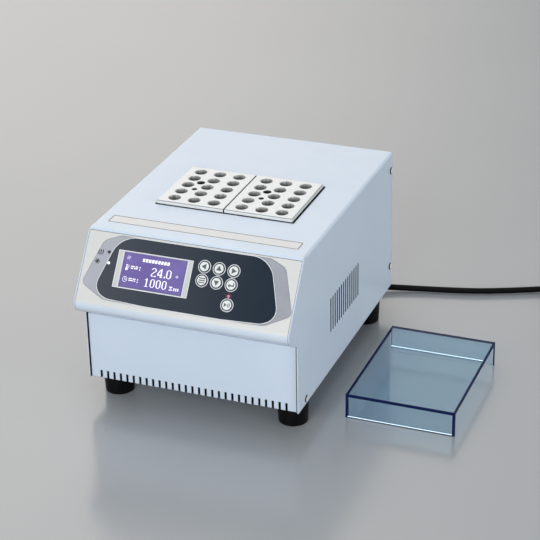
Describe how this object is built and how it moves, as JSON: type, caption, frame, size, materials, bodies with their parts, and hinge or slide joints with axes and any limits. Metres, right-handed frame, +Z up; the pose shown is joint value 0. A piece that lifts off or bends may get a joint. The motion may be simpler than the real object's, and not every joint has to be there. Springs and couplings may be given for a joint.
{
  "type": "cooling dry block",
  "caption": "Bench-top cooling and heating dry bath with lift-out tube blocks, a sloping control face with display and keys, side vents, loose clear lid and mains cord.",
  "frame": {"origin": "centre of the footprint of the instrument and its loose lid together, on the bench surface, leaving out the cord", "axes": "+Z up from the bench, +X to the instrument's right as seen by a person facing its control face, which is the side where the loose lid lies, +Y from the control face towards the mains inlet at the rear"},
  "size_m": [0.5263, 0.4616, 0.1983],
  "materials": {
    "casing_paint": "satin",
    "pan_paint": "satin",
    "bezel_plastic": "satin",
    "inlay_grey": "satin",
    "overlay_dark": "gloss",
    "ivory_plastic": "satin",
    "display_glass": "gloss",
    "key_silver": "satin",
    "key_white": "satin",
    "lamp_red": "gloss",
    "lamp_green": "gloss",
    "label_film": "satin",
    "block_aluminium": "satin anodised",
    "bare_aluminium": "milled",
    "screw_steel": "polished",
    "foot_rubber": "matte",
    "blue_acrylic": "gloss",
    "cord_rubber": "satin",
    "black_plastic": "satin",
    "insulation_foam": "matte",
    "ceramic_white": "matte",
    "circuit_board": "satin",
    "brass_plated": "polished",
    "zinc_steel": "zinc plated",
    "ribbon_grey": "matte",
    "fuse_glass": "gloss"
  },
  "bodies": {
    "instrument": {"top_cover": "casing_paint", "base_chassis": "pan_paint", "rear_panel": "pan_paint", "front_bezel": "bezel_plastic", "grey_inlay": "inlay_grey", "control_overlay": "overlay_dark", "lcd_frame": "ivory_plastic", "lcd_display": "display_glass", "lcd_module": "circuit_board", "key_rings": "key_white", "lamp_heating": "lamp_red", "lamp_cooling": "lamp_green", "lamp_run": "lamp_red", "label_strip": "label_film", "cover_screws": "screw_steel", "rubber_feet": "foot_rubber", "foot_screws": "zinc_steel", "foot_nuts": "zinc_steel", "bezel_screws": "zinc_steel", "power_cord": "cord_rubber", "cord_coil": "cord_rubber", "cord_tail": "cord_rubber", "cord_tie": "black_plastic", "mains_plug": "cord_rubber", "power_connector": "cord_rubber", "thermal_plate": "bare_aluminium", "peltier_modules": "ceramic_white", "module_gasket": "insulation_foam", "heat_sink": "bare_aluminium", "plate_screws": "zinc_steel", "insulation_collar": "insulation_foam", "fan_frame": "black_plastic", "fan_screws": "zinc_steel", "sink_posts": "bare_aluminium", "temperature_probe": "screw_steel", "safety_thermostat": "black_plastic", "control_board": "circuit_board", "key_switches": "black_plastic", "board_standoffs": "brass_plated", "driver_board": "circuit_board", "power_supply": "zinc_steel", "ribbon_cable": "ribbon_grey", "ac_inlet": "black_plastic", "power_switch_housing": "black_plastic"},
    "left_block": {"block_left": "block_aluminium"},
    "right_block": {"block_right": "block_aluminium"},
    "left_key": {"key_left": "key_silver"},
    "up_key": {"key_up": "key_silver"},
    "right_key": {"key_right": "key_silver"},
    "menu_key": {"key_menu": "key_silver"},
    "down_key": {"key_down": "key_silver"},
    "enter_key": {"key_enter": "key_silver"},
    "start_key": {"key_start": "key_silver"},
    "fan": {"fan_rotor": "black_plastic"},
    "rocker": {"power_rocker": "black_plastic"},
    "fuse_carrier": {"fuse_drawer": "black_plastic", "fuses": "fuse_glass"},
    "lid": {"lid_top": "blue_acrylic", "lid_front_wall": "blue_acrylic", "lid_rear_wall": "blue_acrylic"}
  },
  "joints": [
    {"name": "left_block_lift", "type": "slide", "parent": "instrument", "child": "left_block", "axis": [0, 0, 1], "range_m": [0, 0.07]},
    {"name": "right_block_lift", "type": "slide", "parent": "instrument", "child": "right_block", "axis": [0, 0, 1], "range_m": [0, 0.07]},
    {"name": "left_key_press", "type": "slide", "parent": "instrument", "child": "left_key", "axis": [0, 0.8141, -0.5807], "range_m": [0, 0.0005], "stiffness_N_per_m": 600, "springref_m": -0.001},
    {"name": "up_key_press", "type": "slide", "parent": "instrument", "child": "up_key", "axis": [0, 0.8141, -0.5807], "range_m": [0, 0.0005], "stiffness_N_per_m": 600, "springref_m": -0.001},
    {"name": "right_key_press", "type": "slide", "parent": "instrument", "child": "right_key", "axis": [0, 0.8141, -0.5807], "range_m": [0, 0.0005], "stiffness_N_per_m": 600, "springref_m": -0.001},
    {"name": "menu_key_press", "type": "slide", "parent": "instrument", "child": "menu_key", "axis": [0, 0.8141, -0.5807], "range_m": [0, 0.0005], "stiffness_N_per_m": 600, "springref_m": -0.001},
    {"name": "down_key_press", "type": "slide", "parent": "instrument", "child": "down_key", "axis": [0, 0.8141, -0.5807], "range_m": [0, 0.0005], "stiffness_N_per_m": 600, "springref_m": -0.001},
    {"name": "enter_key_press", "type": "slide", "parent": "instrument", "child": "enter_key", "axis": [0, 0.8141, -0.5807], "range_m": [0, 0.0005], "stiffness_N_per_m": 600, "springref_m": -0.001},
    {"name": "start_key_press", "type": "slide", "parent": "instrument", "child": "start_key", "axis": [0, 0.8141, -0.5807], "range_m": [0, 0.0005], "stiffness_N_per_m": 600, "springref_m": -0.001},
    {"name": "fan_spin", "type": "hinge", "parent": "instrument", "child": "fan", "pos_m": [-0.07295, 0.0006, 0.075], "axis": [0, 0, 1], "continuous": true},
    {"name": "rocker_tilt", "type": "hinge", "parent": "instrument", "child": "rocker", "pos_m": [-0.06575, 0.1589, 0.112], "axis": [1, 0, 0], "range_deg": [-14, 0]},
    {"name": "fuse_drawer_pull", "type": "slide", "parent": "instrument", "child": "fuse_carrier", "axis": [0, 1, 0], "range_m": [0, 0.012]},
    {"name": "lid_lift", "type": "slide", "parent": "instrument", "child": "lid", "axis": [0, 0, 1], "range_m": [0, 0.15]}
  ]
}
